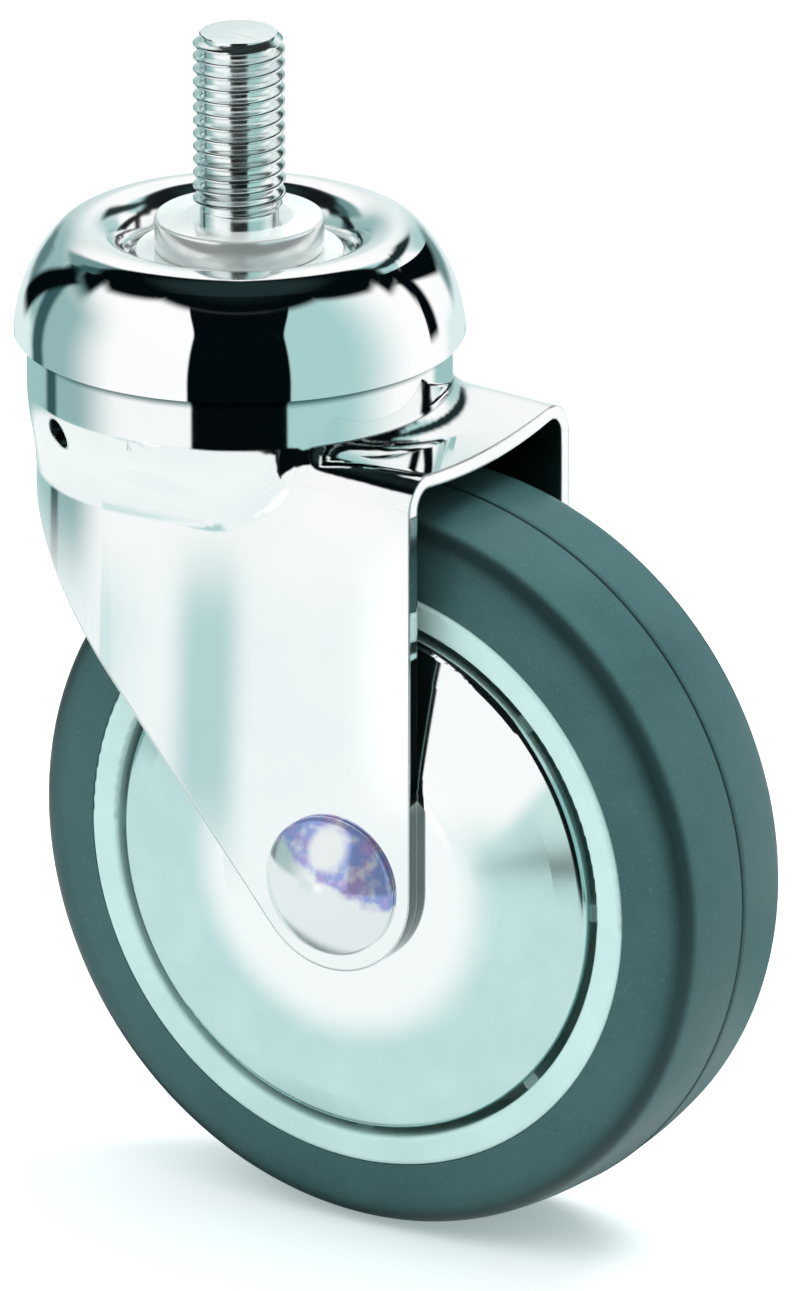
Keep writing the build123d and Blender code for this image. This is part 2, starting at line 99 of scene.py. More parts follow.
class Nodes:
    """Short way to write a node tree. Values are numbers, colours or sockets."""

    def __init__(self, tree):
        self.tree = tree
        self.links = tree.links
        tree.nodes.clear()

    def add(self, kind, **settings):
        node = self.tree.nodes.new(kind)
        for name, value in settings.items():
            setattr(node, name, value)
        return node

    def put(self, socket, value):
        if isinstance(value, bpy.types.NodeSocket):
            self.links.new(value, socket)
        elif value is not None:
            socket.default_value = value

    def math(self, operation, a, b=None, c=None, clamp=False):
        node = self.add("ShaderNodeMath", operation=operation, use_clamp=clamp)
        for socket, value in zip(node.inputs, (a, b, c)):
            self.put(socket, value)
        return node.outputs[0]

    def times(self, *values):
        """All values multiplied."""
        result = values[0]
        for value in values[1:]:
            result = self.math("MULTIPLY", result, value)
        return result

    def rest(self, value):
        """What value leaves of 1."""
        return self.math("SUBTRACT", 1.0, value)

    def weigh(self, a, a_weight, b, b_weight):
        """a and b times their weights, added."""
        return self.math("MULTIPLY_ADD", a, a_weight, self.math("MULTIPLY", b, b_weight))

    def length(self, a, b):
        """Length of the vector (a, b)."""
        squares = self.math("ADD", self.math("MULTIPLY", a, a), self.math("MULTIPLY", b, b))
        return self.math("SQRT", squares)

    def mm(self, value, origin=0.0):
        """A coordinate in metres as millimetres from origin, which is in millimetres."""
        return self.math("MULTIPLY_ADD", value, 1 / MM, -origin)

    def degrees(self, value):
        return self.math("MULTIPLY", value, 180 / pi)

    def span(self, value, low, high, start=0.0, end=1.0, kind="SMOOTHSTEP"):
        """start below low, end above high, smooth between."""
        node = self.add("ShaderNodeMapRange", interpolation_type=kind, clamp=True)
        self.put(node.inputs["Value"], value)
        limits = {"From Min": low, "From Max": high, "To Min": start, "To Max": end}
        for name, number in limits.items():
            self.put(node.inputs[name], number)
        return node.outputs["Result"]

    def fade(self, value, low, high):
        """1 below low, 0 above high."""
        return self.span(value, low, high, 1, 0)

    def band(self, value, low, high, soft):
        """1 between low and high, with soft edges."""
        rise = self.span(value, low - soft, low + soft)
        fall = self.span(value, high - soft, high + soft)
        return self.math("SUBTRACT", rise, fall, clamp=True)

    def mix(self, factor, a, b):
        """Colour a where factor is 0, b where it is 1."""
        node = self.add("ShaderNodeMix", data_type="RGBA", blend_type="MIX")
        self.put(node.inputs["Factor"], factor)
        colours = [socket for socket in node.inputs if socket.type == "RGBA"]
        self.put(colours[0], a)
        self.put(colours[1], b)
        return next(socket for socket in node.outputs if socket.type == "RGBA")

    def choose(self, factor, first, second):
        """The first shader where factor is 0, the second where it is 1."""
        node = self.add("ShaderNodeMixShader")
        for socket, value in zip(node.inputs, (factor, first, second)):
            self.put(socket, value)
        return node.outputs[0]

    def axes(self, vector):
        """The x, y and z of a vector."""
        node = self.add("ShaderNodeSeparateXYZ")
        self.put(node.inputs[0], vector)
        return node.outputs

    def place(self):
        """The point on the object, in metres. It moves with the object."""
        return self.add("ShaderNodeTexCoord").outputs["Object"]

    def noise(self, scale, detail, stretch=(1, 1, 1), rough=0.5):
        """Cloudy noise that moves with the object, about 0.5 on average."""
        mapping = self.add("ShaderNodeMapping")
        mapping.inputs["Scale"].default_value = stretch
        self.put(mapping.inputs["Vector"], self.place())
        texture = self.add("ShaderNodeTexNoise")
        texture.inputs["Scale"].default_value = scale
        texture.inputs["Detail"].default_value = detail
        texture.inputs["Roughness"].default_value = rough
        self.put(texture.inputs["Vector"], mapping.outputs[0])
        return texture.outputs["Fac"]

    def bump(self, height, distance, strength=1.0):
        node = self.add("ShaderNodeBump")
        node.inputs["Strength"].default_value = strength
        node.inputs["Distance"].default_value = distance
        self.put(node.inputs["Height"], height)
        return node.outputs[0]


# ---------------------------------------------------------------- studio
# What the metal sees: a white tent with a black panel on the camera's side, a dark ceiling,
# dark flags at both sides and a pale green right wall. Angles are in degrees: azimuth is 0 on
# the camera's side and grows towards its right, level is 0 at the horizon.
WHITE = rgb(1.0, 1.0, 1.0)
PALE = rgb(0.40, 0.63, 0.62)
MID = rgb(0.040, 0.100, 0.106)
SLATE = rgb(0.014, 0.028, 0.030)
DARK = rgb(0.001, 0.003, 0.004)

world = bpy.data.worlds.new("studio")
scene.world = world
world.use_nodes = True
n = Nodes(world.node_tree)
turned = n.add("ShaderNodeVectorRotate", rotation_type="Z_AXIS")
turned.inputs["Angle"].default_value = -VIEW_TURN
n.put(turned.inputs["Vector"], n.add("ShaderNodeTexCoord").outputs["Generated"])
x, y, z = n.axes(turned.outputs[0])
azimuth = n.degrees(n.math("ARCTAN2", y, x))
level = n.degrees(n.math("ARCSINE", z))
off_axis = n.math("ABSOLUTE", azimuth)
heading = n.math("MODULO", n.math("ADD", azimuth, 360.0), 360.0)

right_wall = n.times(n.span(azimuth, 20, 27), n.fade(azimuth, 56, 100))
sky = n.mix(right_wall, WHITE, PALE)
# back wall: pale above, green grey towards the sides
back = n.times(n.span(off_axis, 140, 160), n.fade(level, 15, 27), 0.40)
sky = n.mix(back, sky, rgb(0.55, 0.73, 0.73))
back_left = n.times(n.span(heading, 172, 204), n.fade(heading, 258, 295), n.fade(level, 14, 38))
sky = n.mix(back_left, sky, rgb(0.30, 0.47, 0.47))
back_right = n.times(n.span(heading, 140, 150), n.fade(heading, 158, 178), n.fade(level, 14, 36))
sky = n.mix(back_right, sky, rgb(0.42, 0.62, 0.61))
side_left = n.times(n.band(azimuth, -146, -102, 5), n.span(level, 18, 26))
sky = n.mix(side_left, sky, rgb(0.16, 0.29, 0.29))
side_right = n.times(n.band(azimuth, 110, 146, 5), n.span(level, 27, 34))
sky = n.mix(side_right, sky, PALE)
# below the horizon: what the castor's silhouettes mirror, with a dark line on the left
low_back = n.times(n.span(off_axis, 126, 136), n.fade(level, -10, -3))
low_colour = n.mix(n.span(level, -19.0, -17.5), rgb(0.34, 0.55, 0.54), rgb(0.74, 0.86, 0.86))
sky = n.mix(low_back, sky, low_colour)
left_line = n.times(n.band(azimuth, -129, -118, 2.5), n.span(level, -26, -20))
sky = n.mix(left_line, sky, MID)
# flags at both sides
corner = n.times(n.span(off_axis, 142, 150), n.fade(off_axis, 158, 170), n.band(level, -7, 6, 4))
sky = n.mix(n.times(corner, 0.7), sky, MID)
slant_left = n.math("MULTIPLY_ADD", level, -0.85, n.math("ADD", azimuth, 140.0))
flag_left = n.times(n.band(slant_left, -6, 6, 2), n.band(level, -9, 26, 3))
slant_right = n.math("MULTIPLY_ADD", level, 1.35, n.math("ADD", azimuth, -154.0))
flag_right = n.times(n.band(slant_right, -7, 7, 2), n.band(level, 2, 28, 3))
sky = n.mix(n.math("MAXIMUM", flag_left, flag_right), sky, DARK)
upright = n.times(n.band(azimuth, 113, 122, 2), n.band(level, -6, 34, 3))
bridge = n.times(n.band(off_axis, 102, 118, 3), n.band(level, 27, 42, 3))
sky = n.mix(n.math("MAXIMUM", upright, bridge), sky, DARK)
# seen in the bend between the fork's head and its deck
slant_root = n.math("MULTIPLY_ADD", azimuth, 0.5, n.math("ADD", level, -73.0))
root = n.times(n.band(azimuth, 126, 164, 4), n.band(slant_root, 27.5, 38, 2.5))
sky = n.mix(root, sky, SLATE)
# ceiling: highest at the back, lowest at the sides
front_level = n.span(off_axis, 60, 94, 50, 36, "LINEAR")
back_rise = n.span(off_axis, 110, 180, 0, 26, "LINEAR")
above_ceiling = n.math("SUBTRACT", level, n.math("ADD", front_level, back_rise))
sky = n.mix(n.span(above_ceiling, -2.5, 3.5), sky, n.mix(n.span(level, 56, 74), DARK, SLATE))
# black panel on the camera's side, wider towards its top
past_panel = n.math("SUBTRACT", off_axis, n.span(level, 30, 66, 26, 43))
panel = n.times(n.fade(past_panel, -0.8, 0.8), n.span(level, -27, -25), n.fade(level, 50, 60))
sky = n.mix(panel, sky, DARK)
# pale ground
sky = n.mix(n.fade(level, -40, -27), sky, rgb(0.80, 0.90, 0.90))

# only mirrors see all that: the background is white, and gives more light from above
paths = n.add("ShaderNodeLightPath")
background = n.add("ShaderNodeBackground")
n.put(background.inputs["Color"], n.mix(paths.outputs["Is Glossy Ray"], WHITE, sky))
lighting = paths.outputs["Is Diffuse Ray"]
from_above = n.span(level, 0, 75, 0.20, 1.45)
strength = n.math("ADD", n.rest(lighting), n.times(lighting, from_above))
n.put(background.inputs["Strength"], strength)
n.put(n.add("ShaderNodeOutputWorld").inputs[0], background.outputs[0])

LAMP_TARGET = Vector((0.01, 0, -0.06))


def lamp(name, azimuth_deg, level_deg, distance, size, watts):
    """A soft round lamp aimed at the castor; azimuth counts from the camera's side."""
    data = bpy.data.lights.new(name, "AREA")
    data.shape = "DISK"
    data.size = size
    data.energy = watts
    around = radians(azimuth_deg) + VIEW_TURN
    rise = radians(level_deg)
    direction = Vector((cos(around) * cos(rise), sin(around) * cos(rise), sin(rise)))
    lamp_object = bpy.data.objects.new(name, data)
    lamp_object.location = LAMP_TARGET + direction * distance
    lamp_object.rotation_euler = direction.to_track_quat("Z", "Y").to_euler()
    scene.collection.objects.link(lamp_object)
    lamp_object.visible_camera = False
    lamp_object.visible_glossy = False


lamp("key", azimuth_deg=125, level_deg=55, distance=0.9, size=0.45, watts=5.5)
lamp("fill", azimuth_deg=-60, level_deg=40, distance=1.0, size=0.7, watts=2.0)

# The floor looks plain and near white. Mirrors see something else of it, in millimetres round
# the swivel axis: a pale sheet with a tinted band, a crease and a white gleam on the line that
# the castor's flat sides mirror, dark panels in front and on the right, a painted shadow under
# and behind the wheel and a teal patch beside it. Further out the floor is clear to mirrors,
# which see the studio there.
FLOOR_REACH = 6.0
SHADOW_CENTRE_X, SHADOW_CENTRE_Y = 5.0, 33.0
PLAIN_ALBEDO = rgb(0.8, 0.8, 0.8)
SHADOW_LIFT, SHADOW_TINT = 0.35, rgb(0.84, 1.03, 1.03)
floor_mesh = bpy.data.meshes.new("floor")
corners = [(-1, -1), (1, -1), (1, 1), (-1, 1)]
floor_points = [(FLOOR_REACH * a, FLOOR_REACH * b, cad_low[2]) for a, b in corners]
floor_mesh.from_pydata(floor_points, [], [(0, 1, 2, 3)])
floor = bpy.data.objects.new("floor", floor_mesh)
scene.collection.objects.link(floor)
floor_material = bpy.data.materials.new("floor_pale")
floor_material.use_nodes = True
m = Nodes(floor_material.node_tree)
x, y, z = m.axes(m.place())
# along the mirrored line of sight and across it
along = m.weigh(x, -RIGHT_Y / MM, y, -RIGHT_X / MM)
across = m.weigh(x, RIGHT_X / MM, y, -RIGHT_Y / MM)
distance = m.length(along, across)
# towards the camera's side, and to its right
front = m.weigh(x, RIGHT_Y / MM, y, -RIGHT_X / MM)
side = m.weigh(x, RIGHT_X / MM, y, RIGHT_Y / MM)
bearing = m.degrees(m.math("ARCTAN2", side, front))
off_front = m.math("ABSOLUTE", bearing)

tinted = m.times(m.band(across, -28, 2, 5), m.span(along, 145, 185))
sheet = m.mix(tinted, rgb(0.93, 0.97, 0.975), rgb(0.70, 0.84, 0.84))
crease = m.times(m.band(across, 10.5, 18.5, 2.6), m.span(along, 120, 185))
sheet = m.mix(crease, sheet, rgb(0.47, 0.68, 0.67))
gleam = m.times(m.band(across, 38, 64, 5), m.span(along, 150, 195))
sheet = m.mix(gleam, sheet, rgb(1.25, 1.25, 1.25))
front_panel = m.times(m.fade(off_front, 25.5, 27.0), m.span(distance, 205, 225))
sheet = m.mix(front_panel, sheet, DARK)
right_panel = m.times(
    m.band(bearing, 35, 103, 2), m.span(distance, 255, 270), m.fade(distance, 325, 331)
)
sheet = m.mix(right_panel, sheet, DARK)
# painted shadow of the castor on the floor, seen only in mirrors
from_shadow_centre = m.length(m.mm(x, SHADOW_CENTRE_X), m.mm(y, SHADOW_CENTRE_Y))
sheet = m.mix(m.span(from_shadow_centre, 46, 66, 0.9, 0), sheet, MID)
beside = m.times(m.band(bearing, 96, 140, 5), m.span(distance, 45, 60), m.fade(distance, 140, 185))
sheet = m.mix(beside, sheet, rgb(0.32, 0.55, 0.53))

paths = m.add("ShaderNodeLightPath")
diffuse = m.add("ShaderNodeBsdfDiffuse")
diffuse.inputs["Color"].default_value = PLAIN_ALBEDO
lift = m.add("ShaderNodeEmission")
lift.inputs["Color"].default_value = SHADOW_TINT
m.put(lift.inputs["Strength"], m.math("MULTIPLY", paths.outputs["Is Camera Ray"], SHADOW_LIFT))
plain = m.add("ShaderNodeAddShader")
m.put(plain.inputs[0], diffuse.outputs[0])
m.put(plain.inputs[1], lift.outputs[0])
mirrored = m.add("ShaderNodeEmission")
m.put(mirrored.inputs["Color"], sheet)
clear = m.add("ShaderNodeBsdfTransparent")
shown = m.math("MAXIMUM", m.fade(distance, 235, 290), right_panel)
in_mirrors = m.choose(shown, clear.outputs[0], mirrored.outputs[0])
both = m.choose(paths.outputs["Is Glossy Ray"], plain.outputs[0], in_mirrors)
m.put(m.add("ShaderNodeOutputMaterial").inputs[0], both)
floor_mesh.materials.append(floor_material)


# ---------------------------------------------------------------- materials
finishes = {}


def principled(name, **settings):
    """A new finish. Returns its tree and its shader, to be linked further."""
    material = bpy.data.materials.new(name)
    finishes[name] = material
    material.use_nodes = True
    tree = Nodes(material.node_tree)
    shader = tree.add("ShaderNodeBsdfPrincipled")
    for key, value in settings.items():
        shader.inputs[key.replace("_", " ")].default_value = value
    tree.put(tree.add("ShaderNodeOutputMaterial").inputs[0], shader.outputs[0])
    return tree, shader


def from_axle(m):
    """How far along +X and above the axle's line a point lies, in millimetres."""
    x, y, z = m.axes(m.place())
    return m.mm(x, AXLE_X), m.mm(z, AXLE_Z)


def source_of(socket):
    """The output that feeds a socket."""
    return socket.links[0].from_socket


def chrome(name, colour, dull, low, high, wave):
    """Bright plate: cloudy haze, a few hair scratches and the slight wave of pressed sheet.

    The first colour and the low roughness are where it is clear, the dull colour and the high
    roughness where it is hazy. The wave's height is in millimetres.
    """
    m, shader = principled(name, Metallic=1.0)
    haze = m.span(m.noise(90, 4.0), 0.35, 0.7)
    m.put(shader.inputs["Base Color"], m.mix(haze, colour, dull))
    scratches = m.span(m.noise(900, 1.0, (1, 1, 0.04)), 0.70, 0.78)
    base = m.span(haze, 0, 1, low, high, "LINEAR")
    m.put(shader.inputs["Roughness"], m.math("MULTIPLY_ADD", scratches, 0.05, base))
    m.put(shader.inputs["Normal"], m.bump(m.noise(110, 1.0), wave * MM))
    return m, shader


m, shader = chrome(
    "chrome_fork", rgb(0.97, 0.985, 0.985), rgb(0.93, 0.965, 0.965),
    low=0.02, high=0.05, wave=0.0015,
)
# the sheet's cut edges are slightly rounded, with a painted dark reflection along the flat faces
# next to them
EDGE_ROUNDING = 0.5 * MM
rounded = m.add("ShaderNodeBevel", samples=6)
rounded.inputs["Radius"].default_value = EDGE_ROUNDING
m.put(source_of(shader.inputs["Normal"]).node.inputs["Normal"], rounded.outputs[0])
turning = m.add("ShaderNodeVectorMath", operation="DOT_PRODUCT")
m.put(turning.inputs[0], rounded.outputs[0])
m.put(turning.inputs[1], m.add("ShaderNodeNewGeometry").outputs["True Normal"])
nx, ny, nz = m.axes(m.add("ShaderNodeTexCoord").outputs["Normal"])
flat = m.math("MAXIMUM", m.span(m.math("ABSOLUTE", ny), 0.6, 0.9), m.span(nz, 0.6, 0.9))
# painted dark reflection along the edges of the flat faces
painted_edge_line = m.times(flat, m.band(turning.outputs["Value"], 0.80, 0.985, 0.02))
# painted shade in the corner under the cap's rim, joined with the painted edge reflection
x, y, z = m.axes(m.place())
under_cap = m.times(m.span(z, -17.4 * MM, -16.2 * MM), m.fade(z, -15.4 * MM, -15.0 * MM))
painted_shade = m.math("MAXIMUM", under_cap, m.times(painted_edge_line, 0.85))
outside = m.mix(painted_shade, source_of(shader.inputs["Base Color"]), rgb(0.10, 0.18, 0.185))
# painted dark reflection on the cut edges round the bosses
painted_boss_edge_reflection = m.times(
    m.fade(m.math("ABSOLUTE", ny), 0.25, 0.6),
    m.fade(z, -70.0 * MM, -62.0 * MM),
    m.span(m.math("ABSOLUTE", y), 17.0 * MM, 17.6 * MM),
)
outside = m.mix(m.times(painted_boss_edge_reflection, 0.92), outside, rgb(0.014, 0.048, 0.050))
# the faces that look into the fork's hollow are greyed with painted shade, and made duller
HOLLOW_X, HOLLOW_Z = 8.0, -36.0
outwards_x = m.math("MULTIPLY", nx, m.mm(x, HOLLOW_X))
outwards_y = m.math("MULTIPLY", ny, m.mm(y))
outwards_z = m.math("MULTIPLY", nz, m.mm(z, HOLLOW_Z))
outwards = m.math("ADD", outwards_x, m.math("ADD", outwards_y, outwards_z))
inside = m.fade(outwards, -6, -2)
# painted shade on the faces inside the hollow
m.put(shader.inputs["Base Color"], m.mix(inside, outside, rgb(0.10, 0.155, 0.16)))
polish = source_of(shader.inputs["Roughness"])
m.put(shader.inputs["Roughness"], m.math("MULTIPLY_ADD", inside, 0.28, polish))

m, shader = chrome(
    "chrome_cap", rgb(0.98, 0.99, 0.99), rgb(0.95, 0.975, 0.975),
    low=0.012, high=0.03, wave=0.001,
)
# the cap's funnel is left satin by its press tool
x, y, z = m.axes(m.place())
funnel = m.fade(m.length(x, y), 16.0 * MM, 20.5 * MM)
polish = source_of(shader.inputs["Roughness"])
m.put(shader.inputs["Roughness"], m.math("MULTIPLY_ADD", funnel, 0.10, polish))

# The guard is polished in the middle, where it is flat, and in front of the leg above it, and
# left satin towards the rest of its edge, where its teal colour is a painted reflection.
m, shader = principled("chrome_guard", Metallic=1.0)
along, above = from_axle(m)
steep = m.span(m.math("MULTIPLY_ADD", along, -1.31, above), -23.0, -18.0)
polished_front = m.times(m.span(along, 4.0, 8.0), steep, m.span(above, 6.0, 14.0), 0.9)
outer = m.times(m.span(m.length(along, above), 17.0, 24.0), m.rest(polished_front))
haze = m.noise(140, 4.0)
# painted teal reflection on the satin edge
painted_teal_reflection = m.mix(m.span(haze, 0.3, 0.7), rgb(0.58, 0.785, 0.765), rgb(0.53, 0.745, 0.725))
m.put(shader.inputs["Base Color"], m.mix(outer, rgb(0.97, 0.985, 0.985), painted_teal_reflection))
satin_roughness = m.span(outer, 0, 1, 0.07, 0.12)
m.put(shader.inputs["Roughness"], m.math("MULTIPLY_ADD", haze, 0.04, satin_roughness))
m.put(shader.inputs["Normal"], m.bump(m.noise(500, 2.0), 0.0015 * MM))

# The bolt's polished head: plain below, and above a painted reflection: the blue and violet tints
# of its clear passivation in patches, round one untinted spot that is a painted highlight.
HIGHLIGHT_ALONG, HIGHLIGHT_ABOVE = 1.0, 5.9
m, shader = principled("polished_steel", Specular_IOR_Level=0.6)
along, above = from_axle(m)
ragged = m.math("MULTIPLY_ADD", m.noise(420, 3.0), 4.0, -4.2)
height = m.math("ADD", m.math("MULTIPLY_ADD", along, 0.45, above), ragged)
upper = m.span(height, -0.5, 0.8)
from_highlight = m.length(
    m.math("SUBTRACT", along, HIGHLIGHT_ALONG), m.math("SUBTRACT", above, HIGHLIGHT_ABOVE)
)
patches = m.span(m.noise(500, 3.0), 0.30, 0.55, 0.35, 1.0)
# tints only on the upper half, a painted reflection, and none on the painted highlight spot
tint = m.times(upper, m.span(from_highlight, 1.9, 3.4), patches)
violet = m.mix(m.span(m.noise(420, 2.0), 0.42, 0.62), rgb(0.27, 0.37, 0.72), rgb(0.44, 0.36, 0.68))
m.put(shader.inputs["Base Color"], m.mix(tint, rgb(0.82, 0.87, 0.87), violet))
m.put(shader.inputs["Metallic"], m.math("MULTIPLY_ADD", upper, -0.35, 0.75))
m.put(shader.inputs["Roughness"], m.span(m.noise(300, 3.0), 0.3, 0.7, 0.10, 0.16))

# bright zinc plate, clouded
m, shader = principled("zinc_steel", Specular_IOR_Level=0.6)
clouds = m.span(m.noise(260, 4.0), 0.35, 0.65)
m.put(shader.inputs["Base Color"], m.mix(clouds, rgb(0.96, 0.985, 0.98), rgb(0.86, 0.92, 0.92)))
m.put(shader.inputs["Roughness"], m.span(clouds, 0, 1, 0.12, 0.22, "LINEAR"))
m.put(shader.inputs["Normal"], m.bump(m.noise(1500, 3.0), 0.004 * MM, 0.6))
# the stem's flange keeps a milky coat
x, y, z = m.axes(m.place())
milky = m.times(m.span(m.length(x, y), 6.6 * MM, 7.4 * MM), m.span(z, -6.0 * MM, -5.6 * MM))
m.put(shader.inputs["Metallic"], m.math("MULTIPLY_ADD", milky, -0.45, 1.0))

# ground bearing steel
m, shader = principled("bearing_steel", Metallic=1.0)
clouds = m.noise(400, 3.0)
m.put(shader.inputs["Base Color"], m.mix(clouds, rgb(0.74, 0.77, 0.78), rgb(0.64, 0.67, 0.68)))
m.put(shader.inputs["Roughness"], m.span(clouds, 0.3, 0.7, 0.08, 0.2))

# rubber: satin, dusty and specked, darker in the mould's parting line, with painted dark
# reflections on its shoulders
m, shader = principled("tyre_rubber", IOR=1.5, Specular_IOR_Level=0.42)
shader.inputs["Specular Tint"].default_value = rgb(0.55, 1.0, 1.0)
dust = m.span(m.noise(70, 5.0, (1, 1, 1), 0.65), 0.35, 0.7)
speck = m.span(m.noise(2600, 2.0), 0.55, 0.8)
bloom = m.mix(dust, rgb(0.043, 0.108, 0.113), rgb(0.055, 0.130, 0.135))
bloom = m.mix(speck, bloom, rgb(0.075, 0.160, 0.165))
x, y, z = m.axes(m.place())
width = m.math("ABSOLUTE", m.mm(y))
# painted dark reflection on the shoulders
painted_shoulder_reflection = m.times(m.band(width, 10.6, 12.7, 0.7), m.span(m.length(*from_axle(m)), 43.5, 45.5))
parting = m.fade(width, 0.20, 0.45)
dark = m.math("MAXIMUM", m.times(painted_shoulder_reflection, 0.92), m.times(parting, 0.85))
m.put(shader.inputs["Base Color"], m.mix(dark, bloom, rgb(0.010, 0.024, 0.026)))
m.put(shader.inputs["Roughness"], m.span(dust, 0, 1, 0.38, 0.50))
m.put(shader.inputs["Normal"], m.bump(m.noise(3200, 2.0), 0.006 * MM, 0.5))

# plastic of the core, faintly mottled
m, shader = principled("core_plastic")
mottle = m.span(m.noise(160, 4.0), 0.3, 0.7)
m.put(shader.inputs["Base Color"], m.mix(mottle, rgb(0.65, 0.93, 0.905), rgb(0.60, 0.88, 0.855)))
m.put(shader.inputs["Roughness"], m.span(mottle, 0, 1, 0.30, 0.42))
m.put(shader.inputs["Normal"], m.bump(m.noise(2200, 2.0), 0.004 * MM, 0.4))

# natural nylon of the nut's insert and the ball cages
m, shader = principled("nylon", Roughness=0.4, Subsurface_Weight=0.1)
clouds = m.noise(300, 2.0)
m.put(shader.inputs["Base Color"], m.mix(clouds, rgb(0.72, 0.72, 0.66), rgb(0.64, 0.64, 0.58)))

for row in frame["record"]["subparts"]:
    for slot in frame["nodes"][row["node"]].material_slots:
        slot.material = finishes[row["material_slot"]]


# ---------------------------------------------------------------- mesh helpers, millimetres
def around_z(bm, radius, turn, height):
    """A new point at a distance from the Z axis, turned about it."""
    return bm.verts.new((radius * cos(turn), radius * sin(turn), height))


def lathe(bm, profile, segments, closed=False):
    """Turns a profile of (radius, height) about Z. Radius 0 at an end closes it in a point."""
    rings = []
    for radius, height in profile:
        if radius == 0:
            rings.append([bm.verts.new((0, 0, height))])
        else:
            turns = [2 * pi * i / segments for i in range(segments)]
            rings.append([around_z(bm, radius, turn, height) for turn in turns])
    pairs = list(zip(rings, rings[1:]))
    if closed:
        pairs.append((rings[-1], rings[0]))
    for lower, upper in pairs:
        for i in range(segments):
            j = (i + 1) % segments
            corners = [lower[i % len(lower)], lower[j % len(lower)]]
            corners += [upper[j % len(upper)], upper[i % len(upper)]]
            bm.faces.new(list(dict.fromkeys(corners)))


def arc(centre, radius, start, end, steps):
    """Points of an arc in a profile; angles in degrees from the +radius direction."""
    points = []
    for k in range(steps + 1):
        turn = radians(start + (end - start) * k / steps)
        points.append((centre[0] + radius * cos(turn), centre[1] + radius * sin(turn)))
    return points


def dome(radius, height, inset, steps):
    """Points of a spherical dome, from inset within its edge to its middle.

    Each is (radius, rise), the rise counted from the plane of the dome's edge.
    """
    ball = (radius ** 2 + height ** 2) / (2 * height)
    points = []
    for k in range(steps + 1):
        here = (radius - inset) * (1 - k / steps)
        points.append((here, sqrt(ball ** 2 - here * here) - ball + height))
    return points


def share_of(value, whole):
    """How much of the whole the value is, between 0 and 1."""
    return min(1.0, max(0.0, value / whole))


# form of a metric thread: its depth as a share of the pitch, then along half a pitch the flat
# crest and the flank, how much of the flank's curve is rounded, and the neck's depth and the
# run-out, as shares of the thread's depth and of the pitch
THREAD_DEPTH = 0.6134
CREST, FLANK, ROUNDING = 0.16, 0.60, 0.25
NECK_DEPTH, RUN_OUT = 0.8, 0.6
# the shallow dish in a thread's end, as shares of its radius
DISH_RIM, DISH_DEPTH = 0.22, 0.012


def thread_tube(bm, radius, pitch, low, high, chamfer, neck, rows, segments):
    """A right-hand thread whose rows follow the helix, cut flat at both ends.

    It runs out into a neck of the given height at its low end, and is chamfered and slightly
    dished at its high end. rows is the number of rows in a pitch.
    """
    depth = THREAD_DEPTH * pitch
    neck_radius = radius - NECK_DEPTH * depth
    start = low - 1.5 * pitch
    count = int((high + 0.5 * pitch - start) / pitch * rows) + rows
    columns = []
    for i in range(segments):
        turn = 2 * pi * i / segments
        column = []
        for j in range(count):
            height = start + (j / rows + i / segments) * pitch
            from_crest = abs((j / rows) % 1.0 - 0.5) * 2
            cut = share_of(from_crest - CREST, FLANK)
            cut = cut * cut * (3 - 2 * cut) * ROUNDING + cut * (1 - ROUNDING)
            grown = share_of(height - low - neck, RUN_OUT * pitch)
            here = neck_radius * (1 - grown) + (radius - depth * cut) * grown
            here = min(here, radius - chamfer + max(0.0, high - height))
            column.append(around_z(bm, here, turn, height))
        columns.append(column)
    # the last column joins the first, one pitch further up
    columns.append(columns[0][rows:])
    for left, right in zip(columns, columns[1:]):
        for j in range(min(len(left), len(right)) - 1):
            bm.faces.new((left[j], right[j], right[j + 1], left[j + 1]))
    for height, upwards in ((low, -1), (high, 1)):
        geometry = bm.verts[:] + bm.edges[:] + bm.faces[:]
        cut = bmesh.ops.bisect_plane(
            bm, geom=geometry, plane_co=(0, 0, height), plane_no=(0, 0, upwards), clear_outer=True
        )
        rim = [e for e in cut["geom_cut"] if isinstance(e, bmesh.types.BMEdge)]
        cap = bmesh.ops.contextual_create(bm, geom=rim)["faces"]
    # the last cap is the high end's
    bmesh.ops.inset_individual(
        bm, faces=cap, thickness=DISH_RIM * radius, depth=DISH_DEPTH * radius
    )


def onto_axle(bm):
    """Lays what was built about Z along the axle: its +Z becomes +Y."""
    lay_down = Matrix.Rotation(radians(-90), 4, "X")
    place = Matrix.Translation((AXLE_X, 0, AXLE_Z)) @ lay_down
    bmesh.ops.transform(bm, matrix=place, verts=bm.verts[:])


def finish_piece(bm, name, body, slot, replaced, angle):
    """A mesh in millimetres becomes a piece in metres that rides on a body.

    Edges sharper than the angle, in degrees, stay sharp.
    """
    bmesh.ops.recalc_face_normals(bm, faces=bm.faces[:])
    bmesh.ops.scale(bm, vec=(MM, MM, MM), verts=bm.verts[:])
    mesh = bpy.data.meshes.new(name)
    bm.to_mesh(mesh)
    bm.free()
    mesh.shade_smooth()
    mesh.set_sharp_from_angle(angle=radians(angle))
    mesh.materials.append(finishes[slot])
    piece = bpy.data.objects.new(name, mesh)
    scene.collection.objects.link(piece)
    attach(piece, body)
    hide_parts(replaced)


